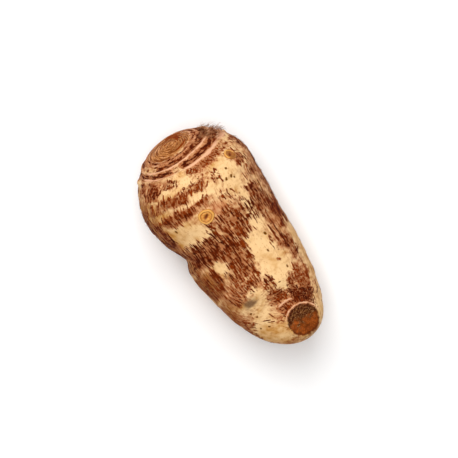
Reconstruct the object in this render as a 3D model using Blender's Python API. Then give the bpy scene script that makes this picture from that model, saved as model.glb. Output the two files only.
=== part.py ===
"""A small taro corm lying on its side, as one closed solid.

The corm is drawn out from a UV sphere. Each vertex of the sphere gets a place on the skin,
given by its distance from the apex along the skin and its bearing round the corm, and the
form below says where that place is. Rings, leaf-scar steps, the two end scars and the crease
are raised from the skin by formula. The bud eyes are turned solids, joined on by a Boolean.

Lengths are in millimetres in the constants and in metres in the mesh. A bearing of 0 is the
top of the lying corm, +90 degrees is its +Y side. The apex is at -X, the attachment at +X.
"""

from math import pi, radians

import bmesh
import bpy
import numpy as np
from mathutils import Matrix, Vector

MM = 0.001

# Half outline of the turned form: (distance along the core, radius), from apex to attachment.
OUTLINE = (
    (0.0, 0.0), (1.7, 9.4), (6.4, 18.8), (14.5, 25.2), (28.0, 27.5), (47.0, 24.9),
    (66.0, 23.4), (85.0, 19.8), (93.0, 16.4), (99.0, 12.2), (102.7, 6.8), (103.2, 0.0),
)
# The core bends: (distance along it, degrees that it heads down), so both ends lift.
PITCH = (
    (0.0, 34.0), (8.0, 27.0), (16.0, 18.0), (26.0, 11.0), (40.0, 6.5), (55.0, 3.6),
    (66.0, 0.5), (76.0, -7.5), (86.0, -23.0), (96.0, -49.0), (104.0, -69.0),
)
# Degrees that a cross-section is turned about the vertical.
SKEW = ((0.0, 4.0), (8.0, 10.0), (22.0, 12.0), (35.0, 10.0), (60.0, 7.0), (90.0, 2.0), (104.0, 0.0))
# Sideways drift of the core.
DRIFT = (
    (0.0, 0.5), (6.0, 3.0), (14.0, 2.2), (25.0, -0.6), (45.0, -1.4), (60.0, -1.8),
    (80.0, -3.0), (95.0, -2.1), (104.0, 0.0),
)

# The crease where the narrow half begins: depth and swell are fractions of the radius.
CREASE_BEARING, CREASE_SPREAD = -105.0, 42.0
CREASE_AT, CREASE_WIDTH, CREASE_DEPTH = 48.4, 4.2, 0.13
SWELL_AT, SWELL_WIDTH, SWELL_HEIGHT = 60.8, 8.0, 0.04

# The growth rings stand askew on the corm: they reach furthest down it opposite RING_HIGH.
RING_LEAN = 4.5
RING_HIGH = 20.0
LEAN_FADES = ((0.0, 0.0), (12.0, 1.0), (45.0, 1.0), (85.0, 0.0), (140.0, 0.0))

# Near the far pole the rings shift the other way, towards SCAR_SIDE, round a scar off centre.
SCAR_SHIFT, SCAR_SIDE = 1.8, 75.0
SHIFT_FADES = (
    (0.0, 0.0), (90.0, 0.0), (98.0, 0.0), (110.0, 0.5), (122.0, 1.0), (131.0, 0.0), (140.0, 0.0),
)

# Raised rings: (distance from the apex, height, half width).
DISC_RINGS = tuple((1.6 * (k + 1), 0.22, 0.45) for k in range(4))
RINGS = DISC_RINGS + ((7.6, 0.2, 0.35), (9.3, 0.35, 0.5), (13.0, 0.6, 0.6), (18.3, 0.75, 0.8))

# Steps that old leaf bases left: (distance from the apex, height).
STEPS = (
    (24.0, 0.3), (29.5, 0.25), (36.0, 0.3), (42.5, 0.3), (52.0, 0.2), (60.5, 0.3),
    (69.0, 0.3), (79.0, 0.2), (89.5, 0.25), (100.0, 0.2), (111.0, 0.25),
)
STEP_RISE, STEP_FALL = 3.5, 0.45

# Low swellings of the whole body: (height, lobes round the corm, turns per mm, start).
WAVES = ((0.22, 2, 0.05, 0.4), (0.14, 3, -0.11, 1.0), (0.08, 5, 0.17, 2.1))

# The attachment scar at the far pole, measured from that pole.
SCAR_RIM, SCAR_RIM_HEIGHT, SCAR_RIM_WIDTH = 7.6, 0.5, 0.8
SCAR_DISH_FROM, SCAR_DISH_RUN, SCAR_DISH_DEPTH = 6.6, 3.0, 0.9

# The crescent scar of a second offset beside it.
CRESCENT_AT, CRESCENT_BEARING, CRESCENT_SPAN = 118.0, 4.0, 17.0
CRESCENT_HEIGHT, CRESCENT_WIDTH = 0.45, 0.9

# Bud eyes: (distance from the apex along the skin, bearing, size).
BUDS = (
    (49.4, -8.3, 1.0), (26.6, 45.0, 0.8), (35.0, -127.0, 0.9),
    (61.0, 126.0, 0.95), (83.0, -138.0, 0.85), (98.0, 112.0, 0.7),
)
# Half outline of an eye: (distance from its axis, height above the skin).
BUD_OUTLINE = (
    (0.0, -2.0), (3.3, -2.0), (3.2, 0.25), (2.7, 0.7), (2.1, 0.5), (1.4, 0.3), (0.7, 0.7), (0.0, 0.8),
)
BUD_SIDES = 16
BUD_MOUND_HEIGHT, BUD_MOUND_RADIUS = 0.35, 4.5

# The corm lies on a pressed flat, and its relief fades out there.
FLAT_SINK = 1.2
BELLY_SPREAD, BELLY_FROM, BELLY_TO = 40.0, 26.0, 88.0

SEGMENTS = 64
ROW_GAP = 2.9
LEAST_ROW_GAP = 0.3
SPINE_STEP = 0.05


def curve(knots, at):
    """Values at the places given, on a smooth line through (place, value) knots."""
    x, y = np.asarray(knots, dtype=float).T
    gap = np.diff(x)
    slope = np.diff(y) / gap
    inner = (slope[:-1] * gap[1:] + slope[1:] * gap[:-1]) / (gap[1:] + gap[:-1])
    tangent = np.concatenate((slope[:1], inner, slope[-1:]))
    i = np.clip(np.searchsorted(x, at, side="right") - 1, 0, len(gap) - 1)
    t = (at - x[i]) / gap[i]
    ends = (1 + 2 * t) * (1 - t) ** 2 * y[i] + t * t * (3 - 2 * t) * y[i + 1]
    turns = t * (1 - t) ** 2 * tangent[i] + t * t * (t - 1) * tangent[i + 1]
    return ends + gap[i] * turns


class Form:
    """The smooth body: where a place on the skin is in space, before the fine relief."""

    def __init__(self):
        half = np.asarray(OUTLINE)
        below = half[:0:-1] * (1, -1)
        beyond = half[-2::-1] * (1, -1)
        loop = np.vstack((below, half, beyond))
        along = np.concatenate(([0.0], np.cumsum(np.hypot(*np.diff(loop, axis=0).T))))
        along -= along[len(below)]
        self.core_knots = np.column_stack((along, loop[:, 0]))
        self.radius_knots = np.column_stack((along, loop[:, 1]))
        self.length = along[len(below) + len(half) - 1]

        self.core = np.arange(-6.0, OUTLINE[-1][0] + 6.0, SPINE_STEP)
        heading = np.radians(curve(PITCH, self.core))
        self.core_x = np.cumsum(np.cos(heading)) * SPINE_STEP
        self.core_z = np.cumsum(-np.sin(heading)) * SPINE_STEP

    def skin_distance(self, ring, bearing):
        """Distance from the apex of places on the leaning ring that is `ring` mm down."""
        lean = RING_LEAN * curve(LEAN_FADES, ring)
        shift = SCAR_SHIFT * curve(SHIFT_FADES, ring)
        along = ring + lean * (1 - np.cos(bearing - radians(RING_HIGH)))
        return along - shift * np.cos(bearing - radians(SCAR_SIDE))

    def points(self, distance, bearing):
        """Places on the smooth skin, in mm, `distance` from the apex at these bearings."""
        core = curve(self.core_knots, distance)
        radius = curve(self.radius_knots, distance) * (1 + crease(core, bearing))
        pitch = np.radians(curve(PITCH, core))
        skew = np.radians(curve(SKEW, core))
        up = radius * np.cos(bearing)
        side = radius * np.sin(bearing)
        ahead = side * np.sin(skew)
        return np.column_stack((
            np.interp(core, self.core, self.core_x) + up * np.sin(pitch) + ahead * np.cos(pitch),
            curve(DRIFT, core) + side * np.cos(skew),
            np.interp(core, self.core, self.core_z) + up * np.cos(pitch) - ahead * np.sin(pitch),
        ))


def crease(core, bearing):
    """Change of the radius, as a fraction, at the crease on one flank."""
    away = (bearing - radians(CREASE_BEARING) + pi) % (2 * pi) - pi
    flank = bump(away, radians(CREASE_SPREAD))
    dip = CREASE_DEPTH * bump(core - CREASE_AT, CREASE_WIDTH)
    swell = SWELL_HEIGHT * bump(core - SWELL_AT, SWELL_WIDTH)
    return flank * (swell - dip)


def bump(away, width):
    """A rounded ridge, 1 high at its middle."""
    return np.exp(-(away / width) ** 2)


def leaf_step(before):
    """A step 1 high: it rises slowly up to its edge, `before` mm ahead, and drops there."""
    return np.exp(-np.where(before > 0, before / STEP_RISE, -before / STEP_FALL))


def scar_height(from_pole):
    """The attachment scar: a raised rim round a dished face."""
    inside = np.clip((SCAR_DISH_FROM - from_pole) / SCAR_DISH_RUN, 0.0, 1.0)
    dish = SCAR_DISH_DEPTH * inside * inside * (3 - 2 * inside)
    return SCAR_RIM_HEIGHT * bump(from_pole - SCAR_RIM, SCAR_RIM_WIDTH) - dish


def belly(distance, bearing):
    """1 on the stretch of the underside that the corm lies on, 0 away from it."""
    away = (bearing + 2 * pi) % (2 * pi) - pi
    ends = np.minimum(distance - BELLY_FROM, BELLY_TO - distance)
    return bump(away, radians(BELLY_SPREAD)) / (1 + np.exp(-ends))


def relief(form, ring, distance, bearing):
    """Height above the smooth skin, in mm."""
    height = np.zeros_like(distance)
    for place, tall in STEPS:
        height += tall * leaf_step(place - ring)
    for tall, lobes, turns, start in WAVES:
        fade = np.sin(pi * distance / form.length)
        height += tall * fade * np.sin(lobes * bearing + turns * distance + start)
    height *= 1 - belly(distance, bearing)
    height += scar_height(form.length - ring)
    for place, tall, half in RINGS:
        height += tall * bump(ring - place, half)
    across = (bearing - radians(CRESCENT_BEARING)) / radians(CRESCENT_SPAN)
    height += CRESCENT_HEIGHT * bump(distance - CRESCENT_AT, CRESCENT_WIDTH) * np.exp(-across ** 4)
    places = form.points(distance, bearing)
    for away, turn, _ in BUDS:
        reach = np.linalg.norm(places - form.points(away, radians(turn)), axis=1)
        height += BUD_MOUND_HEIGHT * bump(reach, BUD_MOUND_RADIUS)
    return height


def ring_rows(form):
    """Places of the mesh rows: at every ridge and step, and evenly between them."""
    rim = form.length - SCAR_RIM
    ridges = [(place, half) for place, _, half in RINGS]
    ridges += [(rim, SCAR_RIM_WIDTH), (CRESCENT_AT, CRESCENT_WIDTH)]
    marks = {0.0, form.length, form.length - SCAR_DISH_FROM + SCAR_DISH_RUN}
    for place, half in ridges:
        marks.update((place - half, place, place + half))
    for place, _ in STEPS:
        marks.update((place, place + 2 * STEP_FALL))
    rows = [0.0]
    for mark in sorted(marks):
        gap = mark - rows[-1]
        if gap > LEAST_ROW_GAP:
            parts = int(np.ceil(gap / ROW_GAP))
            rows.extend(np.linspace(rows[-1], mark, parts + 1)[1:])
    return rows


def draw_out(form, rows):
    """A sphere's mesh drawn out into the corm, with its relief, in millimetres."""
    bm = bmesh.new()
    bmesh.ops.create_uvsphere(bm, u_segments=SEGMENTS, v_segments=len(rows) - 1, radius=1.0)
    places = np.array([vert.co for vert in bm.verts])
    polar = np.arctan2(np.hypot(places[:, 0], places[:, 1]), places[:, 2])
    bearing = np.arctan2(places[:, 1], places[:, 0])
    ring = np.asarray(rows)[np.rint(polar / pi * (len(rows) - 1)).astype(int)]
    distance = form.skin_distance(ring, bearing)
    for vert, place in zip(bm.verts, form.points(distance, bearing)):
        vert.co = place
    bm.normal_update()
    for vert, height in zip(bm.verts, relief(form, ring, distance, bearing)):
        vert.co += vert.normal * height
    return bm


def set_down(bm):
    """Moves the corm to the origin and presses a small flat where it lies; returns the move."""
    low = [min(vert.co[axis] for vert in bm.verts) for axis in range(3)]
    high = [max(vert.co[axis] for vert in bm.verts) for axis in range(3)]
    move = Vector((-(low[0] + high[0]) / 2, -(low[1] + high[1]) / 2, -low[2] - FLAT_SINK))
    for vert in bm.verts:
        vert.co += move
        vert.co.z = max(vert.co.z, 0.0)
    under = [face for face in bm.faces if all(vert.co.z == 0.0 for vert in face.verts)]
    bmesh.ops.dissolve_faces(bm, faces=under, use_verts=True)
    return move


def new_object(name, bm, material):
    """An object in the scene from a mesh in millimetres, shaded smooth."""
    bmesh.ops.scale(bm, vec=(MM, MM, MM), verts=bm.verts)
    mesh = bpy.data.meshes.new(name)
    bm.to_mesh(mesh)
    bm.free()
    mesh.materials.append(material)
    mesh.shade_smooth()
    mesh.set_sharp_from_angle(angle=radians(60))
    obj = bpy.data.objects.new(name, mesh)
    bpy.context.scene.collection.objects.link(obj)
    return obj


def bud_mesh(size):
    """One eye, turned about Z from its half outline."""
    bm = bmesh.new()
    verts = [bm.verts.new((size * out, 0.0, size * up)) for out, up in BUD_OUTLINE]
    edges = [bm.edges.new(pair) for pair in zip(verts, verts[1:])]
    bmesh.ops.spin(
        bm, geom=verts + edges, cent=(0, 0, 0), axis=(0, 0, 1), angle=2 * pi, steps=BUD_SIDES,
        use_merge=True,
    )
    bmesh.ops.remove_doubles(bm, verts=bm.verts, dist=0.01)
    bmesh.ops.recalc_face_normals(bm, faces=bm.faces)
    return bm


def add_bud(form, move, distance, bearing, size, material):
    """One eye, standing square on the skin."""
    around = radians(bearing) + np.array((0.0, 0.0, 0.0, 0.02, -0.02))
    along = distance + np.array((0.0, 0.5, -0.5, 0.0, 0.0))
    here, down, up, left, right = (Vector(place) for place in form.points(along, around))
    out = (down - up).cross(left - right).normalized()
    bm = bud_mesh(size)
    stand = Matrix.Translation(here + move) @ out.to_track_quat("Z", "Y").to_matrix().to_4x4()
    bmesh.ops.transform(bm, matrix=stand, verts=bm.verts)
    return new_object("eye", bm, material)


def fuse(body, pieces):
    """Joins the pieces to the body by one Boolean union, and removes them."""
    group = bpy.data.collections.new("to_fuse")
    for piece in pieces:
        group.objects.link(piece)
    union = body.modifiers.new("fuse", "BOOLEAN")
    union.operation = "UNION"
    union.solver = "EXACT"
    union.operand_type = "COLLECTION"
    union.collection = group
    bpy.context.view_layer.update()
    joined = bpy.data.meshes.new_from_object(body.evaluated_get(bpy.context.evaluated_depsgraph_get()))
    body.modifiers.clear()
    body.data = joined
    for piece in pieces:
        bpy.data.objects.remove(piece)
    bpy.data.collections.remove(group)


def skin_material():
    """Matt tan skin."""
    material = bpy.data.materials.new("taro_skin")
    material.use_nodes = True
    shader = material.node_tree.nodes["Principled BSDF"]
    shader.inputs["Base Color"].default_value = (0.52, 0.27, 0.11, 1.0)
    shader.inputs["Roughness"].default_value = 0.62
    shader.inputs["Metallic"].default_value = 0.0
    return material


def main():
    for obj in list(bpy.data.objects):
        bpy.data.objects.remove(obj)
    material = skin_material()
    form = Form()
    bm = draw_out(form, ring_rows(form))
    move = set_down(bm)
    corm = new_object("taro_corm", bm, material)
    eyes = [add_bud(form, move, *bud, material) for bud in BUDS]
    fuse(corm, eyes)


main()
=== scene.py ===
"""The looks of a small taro corm that lies on its side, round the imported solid.

The skin is a fine mesh on the same form as the solid, with its rings, leaf-scar steps, husk and
scars raised on it. The husk is laid out on a chart of the skin: distance from the apex along the
skin in millimetres, and bearing round the corm in degrees, 0 on top and 90 on the +Y side.
"""

import logging
from dataclasses import dataclass, field
from enum import Enum
from math import ceil, cos, pi, radians, sin

import bpy
import numpy as np
from mathutils import Matrix, Vector


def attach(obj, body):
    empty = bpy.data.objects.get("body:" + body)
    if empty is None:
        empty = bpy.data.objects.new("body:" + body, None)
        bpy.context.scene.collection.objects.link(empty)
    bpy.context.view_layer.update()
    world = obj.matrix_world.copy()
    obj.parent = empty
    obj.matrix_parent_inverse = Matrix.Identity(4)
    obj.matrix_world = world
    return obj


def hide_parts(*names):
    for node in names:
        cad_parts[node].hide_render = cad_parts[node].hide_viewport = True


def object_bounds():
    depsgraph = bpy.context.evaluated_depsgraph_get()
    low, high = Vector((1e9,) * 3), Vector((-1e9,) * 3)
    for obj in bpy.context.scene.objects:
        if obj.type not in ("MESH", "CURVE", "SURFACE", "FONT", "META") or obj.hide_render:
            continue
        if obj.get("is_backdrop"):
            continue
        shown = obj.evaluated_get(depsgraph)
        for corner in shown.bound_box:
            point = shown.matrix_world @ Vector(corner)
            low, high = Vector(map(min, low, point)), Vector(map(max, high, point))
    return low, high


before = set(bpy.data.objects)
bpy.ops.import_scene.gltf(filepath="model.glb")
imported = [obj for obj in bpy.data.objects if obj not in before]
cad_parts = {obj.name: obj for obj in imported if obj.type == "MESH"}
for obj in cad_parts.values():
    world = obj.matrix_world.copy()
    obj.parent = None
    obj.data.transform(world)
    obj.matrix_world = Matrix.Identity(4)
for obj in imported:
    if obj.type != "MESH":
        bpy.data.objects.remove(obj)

log = logging.getLogger("taro")

MM = 0.001
SEED = 41
Knots = tuple[tuple[float, float], ...]
Warp = tuple[np.ndarray, np.ndarray]


# ---------------------------------------------------------------- small tools


def curve(knots: Knots | np.ndarray, at: np.ndarray) -> np.ndarray:
    """A smooth line through knots.

    Args:
        knots: (place, value) pairs in rising order of place.
        at: The places to read.

    Returns:
        The values at those places.
    """
    x, y = np.asarray(knots, dtype=float).T
    gap = np.diff(x)
    slope = np.diff(y) / gap
    inner = (slope[:-1] * gap[1:] + slope[1:] * gap[:-1]) / (gap[1:] + gap[:-1])
    tangent = np.concatenate((slope[:1], inner, slope[-1:]))
    i = np.clip(np.searchsorted(x, at, side="right") - 1, 0, len(gap) - 1)
    t = (at - x[i]) / gap[i]
    ends = (1 + 2 * t) * (1 - t) ** 2 * y[i] + t * t * (3 - 2 * t) * y[i + 1]
    turns = t * (1 - t) ** 2 * tangent[i] + t * t * (t - 1) * tangent[i + 1]
    return ends + gap[i] * turns


def bump(away: np.ndarray, width: float | np.ndarray) -> np.ndarray:
    """A rounded ridge, 1 high at its middle."""
    return np.exp(-(away / width) ** 2)


def rise(value: np.ndarray, low: float, high: float) -> np.ndarray:
    """A smooth step from 0 at `low` to 1 at `high`."""
    t = np.clip((value - low) / (high - low), 0.0, 1.0)
    return t * t * (3 - 2 * t)


def soft_step(inside: np.ndarray, soft: float) -> np.ndarray:
    """0 well outside an edge and 1 well inside it; `soft` is how far the edge spreads."""
    return 1 / (1 + np.exp(-np.clip(inside / soft, -30.0, 30.0)))


def oval(along: np.ndarray, across: np.ndarray) -> np.ndarray:
    """A flat-topped oval, 1 in its middle, for distances in half lengths and half widths."""
    return np.exp(-((along**2 + across**2) ** 2))


def wrapped(angle: np.ndarray) -> np.ndarray:
    """Angles in radians brought between -pi and pi."""
    return (angle + pi) % (2 * pi) - pi


# ---------------------------------------------------------------- the form


@dataclass
class CormForm:
    """The smooth body and its main relief, with the same sizes as the solid, in millimetres.

    Attributes:
        outline: Half outline of the turned form: (distance along the core, radius).
        pitch: (distance along the core, degrees that it heads down).
        skew: (distance along the core, degrees that a section is turned about the vertical).
        drift: (distance along the core, sideways shift).
        crease_bearing: Bearing of the crease on one flank, in degrees.
        crease_spread: Half width of the crease round the corm, in degrees.
        crease_dip: (distance along the core, half width, depth as a share of the radius).
        crease_swell: The same for the swelling past it.
        ring_lean: How far the growth rings lean: half their rise across the corm.
        ring_high: Bearing where they come nearest to the apex.
        lean_fades: (ring, share of the lean).
        scar_shift: How far the rings near the far pole shift, round a scar off centre.
        scar_side: Bearing that they shift towards.
        shift_fades: (ring, share of the shift).
        rings: Raised rings: (distance from the apex, height, half width).
        steps: Edges of old leaf bases: (distance from the apex, height).
        step_rise: How far before a step the skin starts to rise.
        step_fall: How far past it the skin falls back.
        waves: Low swellings: (height, lobes round the corm, turn in radians a mm, start).
        belly_spread: Half width of the side it lies on, where relief fades out, in degrees.
        belly_stretch: Distances from the apex between which relief fades out there.
        scar_rim: Distance from the far pole to the scar's rim.
        scar_lip: (height, half width) of the rim.
        scar_dish: (start inside the rim, end, depth) of the hollow inside it.
        crescent: (distance, bearing) of the raised crescent beside the scar.
        crescent_size: (height, half width, half length in degrees).
        flat_sink: How much of the underside is pressed flat.
        core_step: Step of the sums along the core.
        length: Length of the skin from the apex to the far pole.
    """

    outline: Knots = (
        (0.0, 0.0), (1.7, 9.4), (6.4, 18.8), (14.5, 25.2), (28.0, 27.5), (47.0, 24.9),
        (66.0, 23.4), (85.0, 19.8), (93.0, 16.4), (99.0, 12.2), (102.7, 6.8), (103.2, 0.0),
    )
    pitch: Knots = (
        (0.0, 34.0), (8.0, 27.0), (16.0, 18.0), (26.0, 11.0), (40.0, 6.5), (55.0, 3.6),
        (66.0, 0.5), (76.0, -7.5), (86.0, -23.0), (96.0, -49.0), (104.0, -69.0),
    )
    skew: Knots = (
        (0.0, 4.0), (8.0, 10.0), (22.0, 12.0), (35.0, 10.0), (60.0, 7.0), (90.0, 2.0), (104.0, 0.0),
    )
    drift: Knots = (
        (0.0, 0.5), (6.0, 3.0), (14.0, 2.2), (25.0, -0.6), (45.0, -1.4), (60.0, -1.8),
        (80.0, -3.0), (95.0, -2.1), (104.0, 0.0),
    )
    crease_bearing: float = -105.0
    crease_spread: float = 42.0
    crease_dip: tuple[float, float, float] = (48.4, 4.2, 0.13)
    crease_swell: tuple[float, float, float] = (60.8, 8.0, 0.04)
    ring_lean: float = 4.5
    ring_high: float = 20.0
    lean_fades: Knots = ((0.0, 0.0), (12.0, 1.0), (45.0, 1.0), (85.0, 0.0), (140.0, 0.0))
    scar_shift: float = 1.8
    scar_side: float = 75.0
    shift_fades: Knots = (
        (0.0, 0.0), (90.0, 0.0), (98.0, 0.0), (110.0, 0.5), (122.0, 1.0), (131.0, 0.0), (140.0, 0.0),
    )
    rings: tuple[tuple[float, float, float], ...] = (
        (7.6, 0.2, 0.35), (9.3, 0.35, 0.5), (13.0, 0.6, 0.6), (18.3, 0.75, 0.8),
    )
    steps: Knots = (
        (24.0, 0.3), (29.5, 0.25), (36.0, 0.3), (42.5, 0.3), (52.0, 0.2), (60.5, 0.3),
        (69.0, 0.3), (79.0, 0.2), (89.5, 0.25), (100.0, 0.2), (111.0, 0.25),
    )
    step_rise: float = 3.5
    step_fall: float = 0.45
    waves: tuple[tuple[float, int, float, float], ...] = (
        (0.22, 2, 0.05, 0.4), (0.14, 3, -0.11, 1.0), (0.08, 5, 0.17, 2.1),
    )
    belly_spread: float = 40.0
    belly_stretch: tuple[float, float] = (26.0, 88.0)
    scar_rim: float = 7.6
    scar_lip: tuple[float, float] = (0.5, 0.8)
    scar_dish: tuple[float, float, float] = (1.0, 4.0, 0.9)
    crescent: tuple[float, float] = (118.0, 4.0)
    crescent_size: tuple[float, float, float] = (0.45, 0.9, 17.0)
    flat_sink: float = 1.2
    core_step: float = 0.05
    length: float = field(init=False)

    def __post_init__(self) -> None:
        """Measures the skin's length and bends the core."""
        half = np.asarray(self.outline)
        below = half[:0:-1] * (1, -1)
        beyond = half[-2::-1] * (1, -1)
        loop = np.vstack((below, half, beyond))
        along = np.concatenate(([0.0], np.cumsum(np.hypot(*np.diff(loop, axis=0).T))))
        along -= along[len(below)]
        self.core_knots = np.column_stack((along, loop[:, 0]))
        self.radius_knots = np.column_stack((along, loop[:, 1]))
        self.length = float(along[len(below) + len(half) - 1])
        self.core = np.arange(-6.0, self.outline[-1][0] + 6.0, self.core_step)
        heading = np.radians(curve(self.pitch, self.core))
        self.core_x = np.cumsum(np.cos(heading)) * self.core_step
        self.core_z = np.cumsum(-np.sin(heading)) * self.core_step

    def skin_distance(self, ring: np.ndarray, bearing: np.ndarray) -> np.ndarray:
        """Distance from the apex of places on the leaning rings.

        Args:
            ring: Which ring each is on, in mm down the corm.
            bearing: Bearings in radians.

        Returns:
            Distances from the apex along the skin, in mm.
        """
        lean = self.ring_lean * curve(self.lean_fades, ring)
        shift = self.scar_shift * curve(self.shift_fades, ring)
        along = ring + lean * (1 - np.cos(bearing - radians(self.ring_high)))
        return along - shift * np.cos(bearing - radians(self.scar_side))

    def radius(self, distance: np.ndarray) -> np.ndarray:
        """The skin's distance from the core, without the crease."""
        return curve(self.radius_knots, distance)

    def crease(self, core: np.ndarray, bearing: np.ndarray) -> np.ndarray:
        """Change of the radius at the crease on one flank.

        Args:
            core: Distances along the core, in mm.
            bearing: Bearings in radians.

        Returns:
            The change, as a share of the radius.
        """
        flank = bump(wrapped(bearing - radians(self.crease_bearing)), radians(self.crease_spread))
        at, width, depth = self.crease_dip
        swell_at, swell_width, height = self.crease_swell
        return flank * (height * bump(core - swell_at, swell_width) - depth * bump(core - at, width))

    def points(self, distance: np.ndarray, bearing: np.ndarray) -> np.ndarray:
        """Places on the smooth skin.

        Args:
            distance: Distances from the apex along the skin, in mm.
            bearing: Bearings in radians, as many as there are distances.

        Returns:
            One row of x, y, z in mm for each place, before the corm is moved to the frame.
        """
        core = curve(self.core_knots, distance)
        reach = self.radius(distance) * (1 + self.crease(core, bearing))
        pitch = np.radians(curve(self.pitch, core))
        skew = np.radians(curve(self.skew, core))
        up = reach * np.cos(bearing)
        side = reach * np.sin(bearing)
        ahead = side * np.sin(skew)
        return np.stack((
            np.interp(core, self.core, self.core_x) + up * np.sin(pitch) + ahead * np.cos(pitch),
            curve(self.drift, core) + side * np.cos(skew),
            np.interp(core, self.core, self.core_z) + up * np.cos(pitch) - ahead * np.sin(pitch),
        ), axis=-1)

    def inside_scar(self, ring: np.ndarray) -> np.ndarray:
        """How far rings lie inside the scar's rim, in mm."""
        return self.scar_rim - (self.length - ring)

    def relief(self, ring: np.ndarray, distance: np.ndarray, bearing: np.ndarray) -> np.ndarray:
        """Height of rings, steps, swellings and scars above the smooth skin.

        Args:
            ring: Distances down the leaning rings, in mm.
            distance: Distances from the apex along the skin, in mm.
            bearing: Bearings in radians.

        Returns:
            Heights in mm.
        """
        height = np.zeros_like(distance)
        for place, tall in self.steps:
            before = place - ring
            height += tall * np.exp(-np.where(before > 0, before / self.step_rise, -before / self.step_fall))
        fade = np.sin(pi * distance / self.length)
        for tall, lobes, turns, start in self.waves:
            height += tall * fade * np.sin(lobes * bearing + turns * distance + start)
        belly = bump(wrapped(bearing + pi), radians(self.belly_spread))
        first, last = self.belly_stretch
        height *= 1 - belly * soft_step(np.minimum(distance - first, last - distance), 1.0)
        for place, tall, half in self.rings:
            height += tall * bump(ring - place, half)
        inside = self.inside_scar(ring)
        tall, half = self.scar_lip
        dish_start, dish_end, depth = self.scar_dish
        height += tall * bump(inside, half) - depth * rise(inside, dish_start, dish_end)
        place, middle = self.crescent
        tall, half, reach = self.crescent_size
        across = (bearing - radians(middle)) / radians(reach)
        return height + tall * bump(distance - place, half) * np.exp(-(across**4))


# ---------------------------------------------------------------- the chart


@dataclass
class SkinChart:
    """The skin laid out as a grid, one row for each ring of the mesh, one column for a bearing.

    Attributes:
        form: The corm's form.
        columns: Columns round the corm.
        gaps: (distance, row gap) pairs: the rows stand closer at the two ends.
        least_radius: The least radius that widths are measured by, near the poles.
    """

    form: CormForm
    columns: int = 440
    gaps: Knots = ((0.0, 0.42), (24.0, 0.42), (32.0, 0.72), (105.0, 0.78), (114.0, 0.5), (131.0, 0.42))
    least_radius: float = 0.3

    def __post_init__(self) -> None:
        """Sets out the rows and works out each grid place."""
        fine = np.linspace(0.0, self.form.length, 4001)
        count = np.concatenate(([0.0], np.cumsum(np.diff(fine) / curve(self.gaps, fine[1:]))))
        self.bands = int(round(count[-1]))
        self.rows = np.interp(np.linspace(0.0, count[-1], self.bands + 1), count, fine)
        turn = np.linspace(0.0, 2 * pi, self.columns, endpoint=False)
        self.ring, self.bearing = np.meshgrid(self.rows, wrapped(turn), indexing="ij")
        self.distance = self.form.skin_distance(self.ring, self.bearing)
        self.radius = np.maximum(self.form.radius(self.distance), self.least_radius)
        self.degrees = np.degrees(self.bearing)

    def blank(self) -> np.ndarray:
        """An empty layer."""
        return np.zeros_like(self.ring)

    def cloud(self, rng: np.random.Generator, along: float, around: int) -> np.ndarray:
        """Soft random swelling, seamless round the corm.

        Args:
            rng: The random source.
            along: Size of a swelling along the skin, in mm.
            around: Number of swellings round the corm.

        Returns:
            A layer between -1 and 1.
        """
        cells = int(ceil(self.form.length / along)) + 4
        table = rng.uniform(-1.0, 1.0, (cells, around))
        u = np.clip(self.distance / along, 0.0, cells - 2.001)
        v = (self.bearing + pi) / (2 * pi) * around
        i, j = np.floor(u).astype(int), np.floor(v).astype(int)
        s, t = rise(u - i, 0.0, 1.0), rise(v - j, 0.0, 1.0)
        near, far = j % around, (j + 1) % around
        low = table[i, near] * (1 - t) + table[i, far] * t
        high = table[i + 1, near] * (1 - t) + table[i + 1, far] * t
        return low * (1 - s) + high * s

    def box(self, zone: "Zone", warp: Warp, grow: float = 0.0) -> np.ndarray:
        """A soft-edged stretch of the skin.

        Args:
            zone: The stretch.
            warp: Two layers of mm that make its edges wander along and round the corm.
            grow: Millimetres that it is widened by.

        Returns:
            A layer that is 1 inside and 0 outside.
        """
        along = (self.ring if zone.on_rings else self.distance) + warp[0]
        middle = (zone.turn_from + zone.turn_to) / 2
        half = (zone.turn_to - zone.turn_from) / 2
        turn = np.abs(wrapped(self.bearing - radians(middle)))
        side = (radians(half) - turn) * self.radius + warp[1] + grow
        ends = np.minimum(along - zone.start, zone.end - along) + grow
        return soft_step(ends, zone.soft) * soft_step(side, zone.soft)


@dataclass(frozen=True)
class Zone:
    """A stretch of the skin: distances in mm, bearings in degrees.

    Attributes:
        start: Where it starts, from the apex.
        end: Where it ends.
        turn_from: Its lower bearing.
        turn_to: Its upper bearing.
        share: How much of it is covered.
        tone: 0 for red-brown fibre, 1 for dark brown.
        on_rings: The distances follow the leaning rings.
        soft: Softness of its edge, in mm.
    """

    start: float
    end: float
    turn_from: float
    turn_to: float
    share: float
    tone: float = 0.5
    on_rings: bool = False
    soft: float = 0.45


@dataclass(frozen=True)
class Dash:
    """One fibre of the husk on the chart.

    Attributes:
        ring: Ring of its middle, in mm.
        bearing: Bearing of its middle, in radians.
        length: Length in mm.
        width: Half width in mm.
        strength: How thick it is, up to 1.
        slant: Millimetres that it goes aside per mm along.
        dark: 0 for red-brown, 1 for dark brown.
    """

    ring: float
    bearing: float
    length: float
    width: float
    strength: float
    slant: float = 0.0
    dark: float = 0.5


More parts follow.
